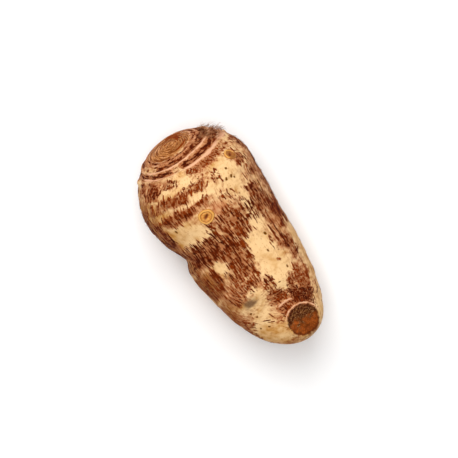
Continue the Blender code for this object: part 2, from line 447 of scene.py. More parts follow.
@dataclass
class Fibres:
    """The layers that fibres are drawn on.

    Attributes:
        chart: The chart that they lie on.
        thick: How thick the fibre is at each place.
        dark: How dark it is.
    """

    chart: SkinChart
    thick: np.ndarray = field(init=False)
    dark: np.ndarray = field(init=False)

    def __post_init__(self) -> None:
        """Starts with none."""
        self.thick = self.chart.blank()
        self.dark = self.chart.blank() + 0.5

    def rows_between(self, low: float, high: float) -> np.ndarray:
        """The rows between two rings, and one more."""
        first, last = np.searchsorted(self.chart.rows, (low, high))
        return np.arange(first, min(last + 1, self.chart.bands + 1))

    def dash(self, mark: Dash) -> None:
        """Draws a fibre that lies along the corm.

        Args:
            mark: The fibre.
        """
        chart = self.chart
        reach = mark.length / 2 + 1.0
        row = min(int(np.searchsorted(chart.rows, mark.ring)), chart.bands)
        column = int(round(mark.bearing / (2 * pi) * chart.columns))
        cell = 2 * pi * chart.radius[row, column % chart.columns] / chart.columns
        spread = 3 * mark.width + abs(mark.slant) * reach
        half = min(int(spread / cell) + 2, chart.columns // 2 - 1)
        columns = (column + np.arange(-half, half + 1)) % chart.columns
        here = np.ix_(self.rows_between(mark.ring - reach, mark.ring + reach), columns)
        along = chart.ring[here] - mark.ring
        across = wrapped(chart.bearing[here] - mark.bearing) * chart.radius[here] - mark.slant * along
        self.keep(mark, here, bump(across, mark.width) * soft_step(mark.length / 2 - np.abs(along), 0.25))

    def arc(self, mark: Dash) -> None:
        """Draws a line that follows a ring: its length is in mm round the corm.

        Args:
            mark: The line.
        """
        chart = self.chart
        here = self.rows_between(mark.ring - 4 * mark.width, mark.ring + 4 * mark.width)
        reach = 0.5 * mark.length / max(float(chart.form.radius(np.array([mark.ring]))[0]), 1.0)
        away = np.abs(wrapped(chart.bearing[here] - mark.bearing))
        body = bump(chart.ring[here] - mark.ring, mark.width)
        self.keep(mark, here, body * rise(reach - away, 0.0, min(0.12, reach)))

    def keep(self, mark: Dash, here: tuple[np.ndarray, ...] | np.ndarray, body: np.ndarray) -> None:
        """Keeps a mark where it is thicker than what is there.

        Args:
            mark: The mark.
            here: The places that it was drawn on.
            body: How much of it is at each of them, 0 to 1.
        """
        self.thick[here] = np.maximum(self.thick[here], mark.strength * body)
        self.dark[here] += body * (mark.dark - self.dark[here])


def zones(*rows: tuple[float, ...], on_rings: bool = False, soft: float = 0.45) -> tuple[Zone, ...]:
    """Zones from rows of (start, end, from bearing, to bearing, share, tone)."""
    return tuple(Zone(*row, on_rings=on_rings, soft=soft) for row in rows)


TOP_HUSK = zones(
    (8, 8.8, -180, 180, 0.9, 0.8), (9.8, 12.4, -100, -60, 0.5, 0.6), (9.8, 12.4, 5, 100, 1.0, 0.7),
    (9.8, 12.4, 100, 260, 0.9, 0.7), (9.9, 12.3, -60, 5, 1.0, 0.8), (14, 16.4, -110, -28, 1.0, 1.0),
    (14, 17.4, 50, 112, 0.95, 0.75), (14, 17.4, 112, 250, 0.95, 0.8), (14.2, 17, -28, -10, 0.35, 0.4),
    (14.3, 17.3, -10, 50, 1.0, 0.8), (19.4, 22.8, -12, 38, 0.9, 0.15), (19.6, 21.8, 38, 64, 0.65, 0.3),
    (20.5, 24.5, 88, 115, 0.9, 0.9), (21.4, 24, 64, 88, 0.6, 0.6),
    on_rings=True, soft=0.25,
)

FLANK_HUSK = zones(
    (23.2, 33, -65, -47, 1.0, 0.5), (23.2, 27.5, -43, -25, 0.8, 0.5), (24, 46, 76, 112, 0.85, 0.95),
    (25, 31, -82, -68, 0.95, 0.6), (25, 34, 70, 82, 0.7, 0.9), (25.5, 29, 38, 52, 1.0, 0.3),
    (27, 35, 54, 62, 0.35, 0.6), (28.5, 36, 8, 20, 0.55, 0.2), (29, 35, -19, 2, 0.95, 0.25),
    (29, 34, 43, 54, 0.95, 0.7), (33, 38.5, -46, -16, 0.95, 0.4), (36, 39.5, -61, -57, 1.0, 0.5),
    (36, 39.5, -51, -46, 0.95, 0.5), (37.5, 41.5, -78, -68, 1.0, 0.6), (37.5, 42.5, 57, 67, 0.8, 0.7),
    (38, 60, -95, -72, 0.8, 0.9), (38.5, 43, 46, 56, 0.7, 0.7), (40, 43, -14, 3, 0.95, 0.4),
    (41, 47, 10, 24, 0.5, 0.4), (41.5, 46, -34, -12, 1.0, 0.5), (43.5, 47.5, -48, -32, 0.9, 0.5),
    (44, 51, -67, -55, 1.0, 0.7), (44, 49, 10, 26, 0.3, 0.4), (45, 58, -85, -70, 0.6, 0.8),
    (46, 52.5, 37, 52, 0.88, 0.8), (46, 52, 55, 75, 0.35, 0.5), (46, 72, 72, 100, 0.8, 0.8),
    # The zone from 50.5 to 58 mm at bearings -72 to -54 is partly painted shade: its husk is drawn darker
    # and wider there to stand in for shade on that flank.
    (49.5, 54, 8, 30, 0.75, 0.5), (50.5, 58, -72, -54, 1.0, 0.95), (52.5, 60, -15, 12, 0.78, 0.6),
    (53, 61.5, 10, 62, 0.88, 0.7), (59, 70, 37, 49, 0.6, 0.5), (59, 73, 53, 78, 1.0, 0.55),
    (59.5, 65, -80, -12, 0.88, 0.85), (61, 66, -15, 22, 0.88, 0.6), (61, 67.5, 3, 16, 1.0, 0.6),
    (63.5, 70.5, -58, -14, 1.0, 0.95), (64, 70, -14, 4, 0.95, 0.8), (66, 72, -85, -55, 0.7, 0.9),
    (66, 71.5, -52, -38, 0.6, 0.7), (66, 71.5, -26, -14, 1.0, 0.55), (67, 81, 36.5, 40, 0.9, 0.5),
    (69, 78, -23, 6, 0.9, 0.55), (69, 82, 43.5, 47, 0.95, 0.8), (69.5, 71.5, -39, -36, 1.0, 0.7),
    (71.5, 80, -68, -52, 0.8, 0.65), (73, 81, 29, 36, 0.6, 0.2), (74, 84, -47, -38, 0.95, 0.6),
    (75, 83, -80, -67, 0.85, 0.8), (77, 84, -29, 2, 0.86, 0.5), (77, 89, 45, 58, 0.85, 0.6),
    (81, 87, -76, -44, 0.85, 0.6), (82, 87, -34, -12, 0.6, 0.2), (83, 86, 59, 68, 0.7, 0.5),
    (85, 92, -36, 2, 0.65, 0.3), (85.5, 90, 44, 60, 0.5, 0.5), (87, 91, -16, -6, 0.9, 0.8),
    (88, 92, -50, -30, 0.55, 0.3), (90, 97, -52, -28, 0.65, 0.6), (90, 98, 2, 9, 0.7, 0.7),
    (90.5, 94, 49, 62, 0.7, 0.6), (91, 98.5, -76, -58, 0.7, 0.5), (91, 97, -20, -4, 0.5, 0.5),
    (93.5, 104, 41.5, 51, 0.95, 0.1), (94, 106, 29.5, 34, 0.95, 0.2), (96, 107, -4, 3, 0.8, 0.3),
    (96, 112, 26, 33, 0.8, 0.6), (96, 105, 55, 65, 0.9, 0.2), (97, 112, 1.5, 4.5, 0.75, 0.2),
    (97, 112, 7, 10, 0.75, 0.2), (98, 110, -88, -58, 0.5, 0.15), (100.5, 113, 25, 34, 1.0, 0.5),
    (101, 108, -84, -66, 0.8, 0.3), (102, 111, 37.5, 62, 0.88, 0.15), (106, 117, -6, 14, 1.0, 0.4),
    (106, 114.5, 78, 82, 0.7, 0.9), (107.5, 110.5, -69, -58, 0.8, 0.5), (109, 114, -10, 2, 0.9, 0.1),
    (111, 122.8, 16, 67, 1.0, 0.9), (112.5, 117, -18, 16, 1.0, 0.5), (115, 118, -52, -43, 0.6, 0.5),
    (118.6, 123.8, -24, 12, 1.0, 0.6), (119, 123.5, -46, -24, 0.5, 0.4), (120, 124, 12, 80, 1.0, 0.5),
)

BARE = zones(
    (20, 31, -24, -6, 0.8), (24.5, 45, 19, 38, 0.95), (28, 32.5, -46, -25, 0.7), (35, 40, -14, 20, 0.6),
    (36.5, 41, -44, -36, 0.5), (44, 57, 27, 36, 0.9), (50.5, 59, -52, -13, 1.0), (57, 68, 24, 35, 1.0),
    (66, 93, 7, 32, 1.0), (67, 96, 62, 88, 0.7), (71, 80, -35, -26, 0.82), (86, 98, 10, 37, 0.9),
    (88, 122, 82, 125, 0.8), (92, 107, -28, -8, 0.8), (95, 111, 11, 24, 0.85), (107, 117, -32, -19, 0.8),
    (110, 117.5, -110, -28, 0.9), (112, 124, 70, 130, 0.85), (117, 126, -110, -66, 0.9),
    soft=1.3,
)

PORES = (
    (31.0, 28.5), (36.5, 30.0), (36.5, 24.0), (38.0, 33.0), (42.5, 24.0), (46.5, 30.0), (33.5, 16.0),
    (27.5, -2.0), (48.5, -38.0), (50.5, -42.0), (57.5, -12.0), (70.5, 30.0), (78.0, 22.0), (92.0, 34.0),
    (110.5, -47.0), (106.0, -45.0), (113.0, -70.0), (117.0, -64.0), (100.5, 16.0), (73.5, -54.0),
    (120.4, -168.0),
)

LONG_FIBRES = (
    (43.0, 9.5, 3.5, 0.2, 0.75, 0.05), (98.0, 3.0, 15.0, 0.3, 0.8, 0.02),
    (100.0, 8.0, 16.0, 0.3, 0.8, -0.02), (94.0, 2.5, 7.0, 0.25, 0.9, 0.04),
    (94.5, 8.0, 7.0, 0.25, 0.9, -0.05), (74.0, 38.5, 13.0, 0.4, 0.95, 0.02),
    (75.5, 45.5, 13.0, 0.45, 1.0, 0.03), (110.0, 79.0, 8.0, 0.35, 0.9, 0.2),
)

CROSS_FIBRES = ((85.1, 27.0), (86.2, 29.0))

SCALES = Zone(111.0, 123.4, 16.0, 68.0, 1.0)

FILM = zones(
    (19.5, 24, -10, 70, 0.8), (22, 30, -85, -45, 0.8), (22, 30, -46, -22, 0.6), (25, 60, 58, 100, 0.7),
    (28, 37, -45, 22, 0.35), (30, 42, -85, -55, 0.6), (39, 47, -48, 10, 0.5), (40, 64, -95, -52, 0.8),
    (42, 50, 14, 28, 0.5), (43, 54, -4, 16, 0.95), (46, 52, -26, -12, 0.8), (62, 74, 34, 60, 0.85),
    (64, 90, -95, -44, 0.4), (69, 83, -48, -35, 0.85), (73, 83, 31, 47, 1.0), (81, 87, -40, -20, 0.8),
    (84.5, 98, -60, 6, 0.9), (88, 113, -95, -45, 0.75), (92, 114, 30, 66, 0.8), (97, 114, -14, 13, 0.85),
    (108, 124, -36, 20, 0.75), (111, 125, 20, 105, 0.85), (117, 126, -62, -20, 0.85),
    soft=1.5,
)


class Grain(Enum):
    """How noise is drawn out on the skin: its fineness round the corm and along it."""

    EVEN = (1.0, 1.0)
    LENGTHWISE = (1.0, 0.16)
    CROSSWISE = (0.3, 1.0)
    RINGS = (0.1, 1.0)


@dataclass
class Husk:
    """The dry fibrous leaf-base husk on the chart, and every other layer of the skin.

    Attributes:
        chart: The chart that it is laid out on.
        eyes: Bud eyes: (distance, bearing in degrees, size).
        course: Distance between courses of fibre, in mm.
        pitch: Distance between the fibres of a course, in mm.
        ends: How far from the apex and from the far pole the courses start and end.
        round_until: Distance down to which fibre runs round the corm.
        woven_from: Distance past which a dense patch has long straight fibre.
        woven_share: How dense such a patch is.
        fine_from: Distance past which the fibres are finer.
        scraps: Short loose fibres over them.
        ties: Lines that cross the fibres.
        disc_end: Ring of the edge of the apex's disc.
        disc_lines: Broken lines on the disc.
        girdle_end: Ring down to which the belts by the apex are matted solid.
        first_edge: Ring that the first band of husk on the hidden sides starts from.
        crests: (ring, half width) of the low growth rings, then of the first tall one.
        broad_crest: (distance, lean, bearing nearest to the apex) of the second tall ring.
        rim_spread: (bearing of the middle, half length in degrees) of the scar's pale rim.
        crescent: (distance, bearing, half length in degrees) of the crescent's crest.
        bruise: (distance, bearing, half length, half width) of the grey bruise.
        faint_bruise: The same for a fainter one underneath.
        layers: The layers by name, once they are laid.
        rng: The random source.
        warp: Two layers that make edges wander, along the corm and round it.
    """

    chart: SkinChart
    eyes: tuple[tuple[float, float, float], ...]
    course: float = 2.7
    pitch: float = 0.8
    ends: tuple[float, float] = (9.0, 6.0)
    round_until: float = 19.0
    woven_from: float = 48.0
    woven_share: float = 0.72
    fine_from: float = 52.0
    scraps: int = 3500
    ties: int = 1400
    disc_end: float = 7.2
    disc_lines: int = 50
    girdle_end: float = 19.4
    first_edge: float = 18.6
    crests: Knots = ((7.6, 0.24), (9.3, 0.27), (13.0, 0.54))
    broad_crest: tuple[float, float, float] = (18.4, 3.3, 20.0)
    rim_spread: tuple[float, float] = (12.0, 100.0)
    crescent: tuple[float, float, float] = (118.3, 1.0, 21.0)
    bruise: tuple[float, float, float, float] = (100.4, -31.0, 4.4, 4.2)
    faint_bruise: tuple[float, float, float, float] = (122.6, 172.0, 1.6, 3.6)
    layers: dict[str, np.ndarray] = field(default_factory=dict)
    rng: np.random.Generator = field(init=False)
    warp: Warp = field(init=False)

    def __post_init__(self) -> None:
        """Starts the random source and works out the warp."""
        self.rng = np.random.default_rng(SEED)
        self.warp = (
            self.clouds((0.8, 4.0, 30), (0.7, 2.0, 70), (0.4, 1.1, 130)),
            self.clouds((0.9, 5.0, 26), (0.8, 2.4, 60), (0.5, 1.3, 130)),
        )

    def clouds(self, *parts: tuple[float, float, int]) -> np.ndarray:
        """Clouds added up: (strength, size along the skin in mm, number round the corm) of each."""
        return sum(strength * self.chart.cloud(self.rng, along, around) for strength, along, around in parts)

    def lay(self) -> dict[str, np.ndarray]:
        """Works out every layer of the skin.

        Returns:
            Layers by name, the names that the skin's finish reads and height.
        """
        chart, form, warp = self.chart, self.chart.form, self.warp
        cover, tone, film = self.cover()
        for distance, bearing, size in self.eyes:
            cover = cover * (1 - self.spot(distance, bearing, 4.0 * size, 4.0 * size))
        ridge = self.ridges()
        girdle = rise(self.girdle_end - chart.ring, 0.0, 1.2)
        fibres = self.fibres(cover, girdle)
        scales = chart.box(SCALES, warp)
        clear = 1 - np.clip(1.3 * ridge, 0.0, 1.0)
        inside = form.inside_scar(chart.ring)
        cork = rise(inside - 0.5 + 0.3 * warp[1], -0.3, 0.3)
        lumps = self.clouds((1.0, 3.0, 9), (1.0, 1.5, 15))
        down = np.cos(chart.bearing - radians(5.0)) * (form.length - chart.distance)
        grey = np.maximum(self.spot(*self.bruise, warp), 0.6 * self.spot(*self.faint_bruise))
        self.layers = {
            "husk": fibres.thick * clear * (1 - cork),
            "film": film,
            "deep": np.clip(0.55 * tone + 0.6 * fibres.dark - 0.12 + 0.1 * scales, 0.0, 1.2),
            "mat": cover * (1 - cork) * (0.2 + 0.8 * clear),
            "ridge": ridge,
            "girdle": girdle,
            "disc": rise(self.disc_end + 0.3 * warp[0] - chart.ring, -0.2, 0.3),
            "scales": scales,
            "cork": cork,
            "crust": rise(down + 1.8 * lumps, -3.4, 3.4),
            "edge": bump(inside - 0.9 - 0.3 * lumps, 0.5),
            "grey": grey,
            "pore": self.pores(),
            # Deeper yellow: the flesh's own colour in patches, and painted shade at the flanks.
            "warm_and_shade": self.warmth_and_shade(),
        }
        self.layers["height"] = self.height()
        return self.layers

    def cover(self) -> tuple[np.ndarray, np.ndarray, np.ndarray]:
        """Adds the zones up.

        Returns:
            Layers: share covered with fibre, tone of the fibre, and share covered with film.
        """
        chart, warp = self.chart, self.warp
        ring_warp = (0.35 * warp[0], warp[1])
        cover = self.hidden_sides()
        tone = 0.6 * cover
        weight = cover.copy()
        film = 0.8 * cover
        for zone in TOP_HUSK + FLANK_HUSK:
            part = zone.share * chart.box(zone, ring_warp if zone.on_rings else warp)
            cover = np.maximum(cover, part)
            tone += zone.tone * part
            weight += part
            film = np.maximum(film, zone.share * chart.box(zone, warp, grow=0.9))
        film = np.maximum(film, self.most_of(FILM))
        film = np.maximum(film, 0.36 + self.clouds((0.32, 9.0, 14)))
        film *= 1 - 0.9 * self.most_of(BARE)
        return cover, tone / np.maximum(weight, 0.3), np.clip(film, 0.0, 1.0)

    def most_of(self, places: tuple[Zone, ...]) -> np.ndarray:
        """The largest share that any of some zones has at each place."""
        return np.maximum.reduce([zone.share * self.chart.box(zone, self.warp) for zone in places])

    def hidden_sides(self) -> np.ndarray:
        """Bands of husk on the flanks and the underside, denser just above each leaf-scar step.

        Returns:
            The share of each place that they cover.
        """
        chart = self.chart
        cover = chart.blank()
        edges = [self.first_edge] + [place for place, _ in chart.form.steps]
        patches = 0.55 + self.clouds((0.75, 11.0, 12), (0.35, 5.0, 26))
        for start, end in zip(edges, edges[1:]):
            depth = self.rng.uniform(0.45, 0.75) * (end - start)
            band = Zone(end - depth, end - 0.4, -180.0, 180.0, 1.0, on_rings=True, soft=0.5)
            np.maximum(cover, chart.box(band, (0.6 * self.warp[0], 99.0)), out=cover)
        away = rise(np.abs(chart.degrees), 76.0, 92.0)
        return np.clip(cover * patches, 0.0, 0.95) * away

    def spot(
        self, distance: float, bearing: float, reach: float, spread: float, warp: Warp | None = None
    ) -> np.ndarray:
        """A soft oval.

        Args:
            distance: Distance of its middle from the apex, in mm.
            bearing: Bearing of its middle, in degrees.
            reach: Half its length along the corm, in mm.
            spread: Half its width, in mm.
            warp: Layers that make its edge wander, or None.

        Returns:
            A layer that is 1 in its middle.
        """
        along = self.chart.distance - distance
        across = wrapped(self.chart.bearing - radians(bearing)) * self.chart.radius
        if warp is not None:
            along, across = along + warp[0], across + warp[1]
        return oval(along / reach, across / spread)

    def ridges(self) -> np.ndarray:
        """The pale crests: the growth rings, the scar's rim and the crescent beside it.

        Returns:
            A layer that is 1 on the crests.
        """
        chart = self.chart
        wander = self.clouds((0.25, 4.0, 24), (0.18, 2.0, 60))
        ragged = 0.8 + self.clouds((0.35, 1.6, 60), (0.2, 5.0, 12))
        *low_crests, (place, width) = self.crests
        layer = 0.95 * bump(chart.ring + wander - place, width) * ragged
        tip = bump(chart.degrees - 80.0, 20.0)
        broad = 0.7 + 0.35 * rise(chart.degrees, 0.0, 50.0) + 0.75 * tip
        crest = bump(self.past_broad_crest() + 1.4 * wander, broad)
        layer = np.maximum(layer, crest * np.maximum(ragged, 1.1 * tip))
        for place, width in low_crests:
            crest = bump(chart.ring + wander - place, width)
            layer = np.maximum(layer, crest * (0.6 + self.clouds((0.4, 2.0, 16))))
        middle, reach = self.rim_spread
        rim = bump(0.6 * wander - 0.1 - chart.form.inside_scar(chart.ring), 0.4)
        rim *= rise(reach - np.abs(chart.degrees - middle), 0.0, 30.0)
        layer = np.maximum(layer, 0.85 * ragged * rim)
        place, middle, reach = self.crescent
        crescent = bump(chart.distance - place - 0.8 * rise(chart.degrees, 10.0, 22.0), 0.55)
        return np.maximum(layer, crescent * rise(reach - np.abs(chart.degrees - middle), 0.0, 8.0))

    def past_broad_crest(self) -> np.ndarray:
        """Distance past the crest of the second tall ring, which leans less than the first."""
        place, lean, high = self.broad_crest
        return self.chart.distance - place - lean * (1 - np.cos(self.chart.bearing - radians(high)))

    def share_at(self, cover: np.ndarray, distance: float, bearing: float) -> float:
        """The cover at a place, by its ring and its bearing in radians."""
        row = min(int(np.searchsorted(self.chart.rows, distance)), self.chart.bands)
        return float(cover[row, int(bearing / (2 * pi) * self.chart.columns) % self.chart.columns])

    def fibres(self, cover: np.ndarray, girdle: np.ndarray) -> Fibres:
        """Draws all the fibre.

        Args:
            cover: The share of each place to cover.
            girdle: Where the belts by the apex are.

        Returns:
            The fibres.
        """
        fibres = Fibres(self.chart)
        self.draw_courses(cover, fibres)
        self.draw_scraps(cover, fibres)
        solid = np.maximum(rise(cover, 0.9, 1.0), 0.9 * girdle * rise(cover, 0.45, 0.9))
        np.maximum(fibres.thick, solid * (0.8 + self.clouds((0.25, 1.5, 110))), out=fibres.thick)
        self.draw_disc(fibres)
        for distance, bearing, length, width, strength, slant in LONG_FIBRES:
            fibres.dash(Dash(distance, radians(bearing), length, width, strength, slant, 0.7))
        for distance, bearing in CROSS_FIBRES:
            fibres.arc(Dash(distance, radians(bearing), 4.4, 0.65, 1.1))
        return fibres

    def draw_courses(self, cover: np.ndarray, fibres: Fibres) -> None:
        """Draws courses of fibre laid lengthwise, or round the corm near the apex.

        Args:
            cover: The share of each place to cover.
            fibres: What to draw on.
        """
        chart, rng = self.chart, self.rng
        for ring in np.arange(self.ends[0], chart.form.length - self.ends[1], self.course):
            count = int(2 * pi * float(chart.form.radius(ring)) / self.pitch)
            start = rng.uniform(0.0, 2 * pi)
            for k in range(count):
                bearing = start + 2 * pi * (k + rng.uniform(-0.3, 0.3)) / count
                place = ring + rng.uniform(-1.2, 1.2)
                share = self.share_at(cover, place, bearing)
                woven = share > self.woven_share and place > self.woven_from
                length = (rng.uniform(1.5, 3.0) + rng.exponential(0.6)) * (1.7 if woven else 1.0)
                width = rng.uniform(0.22, 0.42 if place > self.fine_from else 0.58)
                strength = rng.uniform(0.6, 1.0)
                slant = rng.normal(0.0, 0.04 if woven else 0.22)
                mark = Dash(place, bearing, length, width, strength, slant, rng.uniform(0.0, 1.0))
                if rng.uniform() < (0.85 if woven else 1.2) * share:
                    draw = fibres.dash if place > self.round_until else fibres.arc
                    draw(mark)

    def draw_scraps(self, cover: np.ndarray, fibres: Fibres) -> None:
        """Draws short loose fibres and cross ties, most where the cover is dense.

        Args:
            cover: The share of each place that is covered.
            fibres: What to draw on.
        """
        chart, rng = self.chart, self.rng
        area = chart.radius * np.gradient(chart.distance, axis=0)
        odds = np.cumsum((area * np.clip(cover, 0.0, 1.0) ** 2).ravel())
        picks = np.searchsorted(odds, rng.uniform(0.0, odds[-1], self.scraps + self.ties))
        for number, pick in enumerate(picks):
            row, column = divmod(int(pick), chart.columns)
            scrap = number < self.scraps
            length = rng.uniform(0.6, 1.9 if scrap else 4.5)
            width = rng.uniform(0.18, 0.3)
            strength = rng.uniform(0.55, 0.95) * float(cover[row, column]) ** 0.5
            slant = rng.normal(0.0, 0.4)
            place, bearing = float(chart.rows[row]), float(chart.bearing[row, column])
            mark = Dash(place, bearing, length, width, strength, slant, rng.uniform(0.0, 0.9))
            draw = fibres.dash if scrap else fibres.arc
            draw(mark)

    def draw_disc(self, fibres: Fibres) -> None:
        """Draws closely set broken rings on the apex's disc.

        Args:
            fibres: What to draw on.
        """
        rng = self.rng
        for k in range(self.disc_lines):
            ring = self.disc_end * np.sqrt((k + 0.5) / self.disc_lines) + rng.normal(0.0, 0.12)
            mark = Dash(
                ring, rng.uniform(-pi, pi), rng.uniform(0.4, 1.7) * ring, rng.uniform(0.14, 0.26),
                rng.uniform(0.4, 0.9), dark=rng.uniform(0.0, 1.0),
            )
            fibres.arc(mark)

    def pores(self) -> np.ndarray:
        """Small dark pores on the bare skin, at listed places on top and at random elsewhere.

        Returns:
            A layer that is 1 in their middles.
        """
        layer, rng = self.chart.blank(), self.rng
        more = [(rng.uniform(22.0, 118.0), rng.uniform(85.0, 275.0)) for _ in range(60)]
        for distance, bearing in PORES + tuple(more):
            size = rng.uniform(0.38, 0.66)
            np.maximum(layer, self.spot(distance, bearing, size * 1.1, size), out=layer)
        return layer

    def warmth_and_shade(self) -> np.ndarray:
        """Where the flesh colour is a deeper yellow: low on the corm and in patches, which is its own
        colour, and at its flanks, most at negative bearings, which is painted shade.

        Returns:
            A layer between 0 and 1.
        """
        chart = self.chart
        # Painted shade: these flank terms deepen the colour towards the sides, most on the side at negative
        # bearings.
        flank = 0.5 * rise(np.abs(chart.degrees), 30.0, 100.0) + 0.5 * rise(-chart.degrees, 10.0, 62.0)
        low = rise(chart.distance, 84.0, 116.0)
        patches = self.clouds((0.5, 8.0, 14), (0.3, 3.0, 36))
        flank *= rise(chart.distance, 18.0, 42.0) * (1 - 0.45 * low)
        return np.clip(0.17 + 0.72 * flank + 0.35 * patches, 0.0, 1.0)

    def height(self) -> np.ndarray:
        """Relief of the husk, film, apex, scar face and pores above the form.

        Returns:
            A layer in mm.
        """
        layers = self.layers
        grain = self.clouds((0.4, 1.0, 220))
        height = 0.16 * layers["husk"] * (1 + grain) + 0.05 * layers["film"]
        for distance, bearing, size in self.eyes:
            height -= self.spot(distance, bearing, 2.4 * size, 2.4 * size)
        height += self.clouds((0.03, 2.2, 60))
        height -= 0.08 * layers["pore"]
        height += 0.3 * layers["cork"] * self.clouds((1.0, 0.9, 26), (1.0, 1.7, 14))
        waves = np.sin(self.chart.ring * 4.1 + self.clouds((0.8, 4.0, 7)))
        return height + 0.2 * layers["disc"] * waves


# ---------------------------------------------------------------- shader maths


@dataclass
class Value:
    """A shader socket that adds Math nodes when it is used in arithmetic.

    Attributes:
        graph: The node tree that it is in.
        socket: The output socket.
    """

    graph: "Graph"
    socket: bpy.types.NodeSocket

    def _with(self, operation: str, first: object, second: object) -> "Value":
        """A Math node on two values."""
        return self.graph.node("ShaderNodeMath", {"operation": operation}, {0: first, 1: second})

    def __add__(self, other: "Value | float") -> "Value":
        """self + other."""
        return self._with("ADD", self, other)

    __radd__ = __add__

    def __mul__(self, other: "Value | float") -> "Value":
        """self * other."""
        return self._with("MULTIPLY", self, other)

    __rmul__ = __mul__

    def __sub__(self, other: "Value | float") -> "Value":
        """self - other."""
        return self._with("SUBTRACT", self, other)

    def __rsub__(self, other: "Value | float") -> "Value":
        """other - self."""
        return self._with("SUBTRACT", other, self)

    def most(self, other: "Value | float") -> "Value":
        """The larger of the two."""
        return self._with("MAXIMUM", self, other)

    def least(self, other: "Value | float") -> "Value":
        """The smaller of the two."""
        return self._with("MINIMUM", self, other)

    def rise(self, low: float, high: float) -> "Value":
        """A smooth step.

        Args:
            low: Where it is 0.
            high: Where it is 1.

        Returns:
            The step.
        """
        settings = {"interpolation_type": "SMOOTHSTEP"}
        sockets = {"Value": self, "From Min": low, "From Max": high}
        return self.graph.node("ShaderNodeMapRange", settings, sockets)


def srgb(red: int, green: int, blue: int) -> tuple[float, float, float, float]:
    """A colour as it looks on a screen, made linear.

    Args:
        red: Its red, 0 to 255.
        green: Its green.
        blue: Its blue.

    Returns:
        Linear red, green, blue and an alpha of 1.
    """
    parts = [value / 255 for value in (red, green, blue)]
    linear = [p / 12.92 if p <= 0.04045 else ((p + 0.055) / 1.055) ** 2.4 for p in parts]
    return (*linear, 1.0)


class Graph:
    """One material's node tree."""

    def __init__(self, name: str, gloss: float = 0.05) -> None:
        """Starts a material with a single Principled shader.

        Args:
            name: The material's name.
            gloss: How much it reflects.
        """
        self.material = bpy.data.materials.new(name)
        self.material.use_nodes = True
        self.tree = self.material.node_tree
        self.shader = self.tree.nodes["Principled BSDF"]
        self.shader.inputs["Specular IOR Level"].default_value = gloss

    def node(
        self, kind: str, settings: dict | None = None, sockets: dict | None = None,
        output: str | int | None = None,
    ) -> Value:
        """Adds any node.

        Args:
            kind: The node's type.
            settings: Its own settings, set before its sockets.
            sockets: Values or links, by socket name or number.
            output: Name or number of the output to use, or None for the first that is in use.

        Returns:
            That output.
        """
        made = self.tree.nodes.new(kind)
        for name, value in (settings or {}).items():
            setattr(made, name, value)
        for name, value in (sockets or {}).items():
            self.put(made.inputs[name], value)
        if output is not None:
            return Value(self, made.outputs[output])
        return Value(self, next(socket for socket in made.outputs if socket.enabled))

    def put(self, socket: bpy.types.NodeSocket, value: object) -> None:
        """Feeds an input socket.

        Args:
            socket: The input.
            value: A Value to link to it, or a plain number or colour to set on it.
        """
        if isinstance(value, Value):
            self.tree.links.new(value.socket, socket)
        else:
            socket.default_value = value

    def attribute(self, name: str) -> Value:
        """A number kept on the mesh."""
        return self.node("ShaderNodeAttribute", {"attribute_name": name}, output="Fac")

    def place(self, name: str) -> Value:
        """A vector kept on the mesh."""
        return self.node("ShaderNodeAttribute", {"attribute_name": name}, output="Vector")

    def noise(self, where: Value, scale: float, detail: float = 2.0, drawn: Grain = Grain.EVEN) -> Value:
        """Noise between 0 and 1.

        Args:
            where: Vector to read it at.
            scale: Its fineness.
            detail: How many finer layers it has.
            drawn: How it is drawn out round the corm and along it.

        Returns:
            The noise.
        """
        around, along = drawn.value
        sockets = {"Vector": where, "Scale": (around, around, along)}
        vector = self.node("ShaderNodeMapping", {"vector_type": "POINT"}, sockets)
        return self.node("ShaderNodeTexNoise", None, {"Vector": vector, "Scale": scale, "Detail": detail})

    def seams(self, where: Value, scale: float) -> Value:
        """Distance to the edge of the cell, for cells of 1 / scale mm."""
        settings = {"feature": "DISTANCE_TO_EDGE"}
        return self.node("ShaderNodeTexVoronoi", settings, {"Vector": where, "Scale": scale})

    def mix(self, share: Value | float, first: object, second: object) -> Value:
        """A colour between two colours: the first at a share of 0, the second at 1."""
        sockets = {0: share, 6: first, 7: second}
        return self.node("ShaderNodeMix", {"data_type": "RGBA"}, sockets, output=2)

    def finish(
        self, colour: object, roughness: object, height: Value | None = None, lift: float = 0.0
    ) -> bpy.types.Material:
        """Feeds the shader.

        Args:
            colour: Base colour.
            roughness: Roughness.
            height: What the bump is raised by, or None.
            lift: Height of the bump, in metres.

        Returns:
            The material.
        """
        self.put(self.shader.inputs["Base Color"], colour)
        self.put(self.shader.inputs["Roughness"], roughness)
        if height is not None:
            raised = self.node("ShaderNodeBump", None, {"Height": height, "Distance": lift, "Strength": 1.0})
            self.put(self.shader.inputs["Normal"], raised)
        return self.material


class SkinGraph(Graph):
    """The skin's node tree, with the layers and noises that its colours are made of."""

    LAYERS = (
        "husk", "film", "deep", "mat", "ridge", "girdle", "disc",
        "scales", "cork", "crust", "edge", "grey", "pore", "warm_and_shade",
    )

    def __init__(self) -> None:
        """Reads the layers kept on the mesh and sets up the noises."""
        super().__init__("taro_skin_finish")
        grain = self.place("grain")
        self.layer = {name: self.attribute(name) for name in self.LAYERS}
        self.strand = self.noise(grain, 1.25, 2.0, Grain.LENGTHWISE)
        self.tie = self.noise(grain, 0.95, 2.0, Grain.CROSSWISE)
        self.fine = self.noise(grain, 2.2, 2.0, Grain.LENGTHWISE)
        self.rings = self.noise(grain, 1.7, 2.0, Grain.RINGS)
        self.cloud = self.noise(grain, 0.17, 1.0)
        self.stain = self.noise(grain, 0.28, 2.0)
        self.mottle = self.noise(grain, 0.5, 3.0)
        self.speck = self.noise(grain, 2.2, 2.0)
        self.crumb = self.noise(grain, 1.1, 4.0)
        self.line = self.strand + self.layer["girdle"] * (self.tie - self.strand)
        self.cells = self.seams(grain, 0.36)


# ---------------------------------------------------------------- finishes


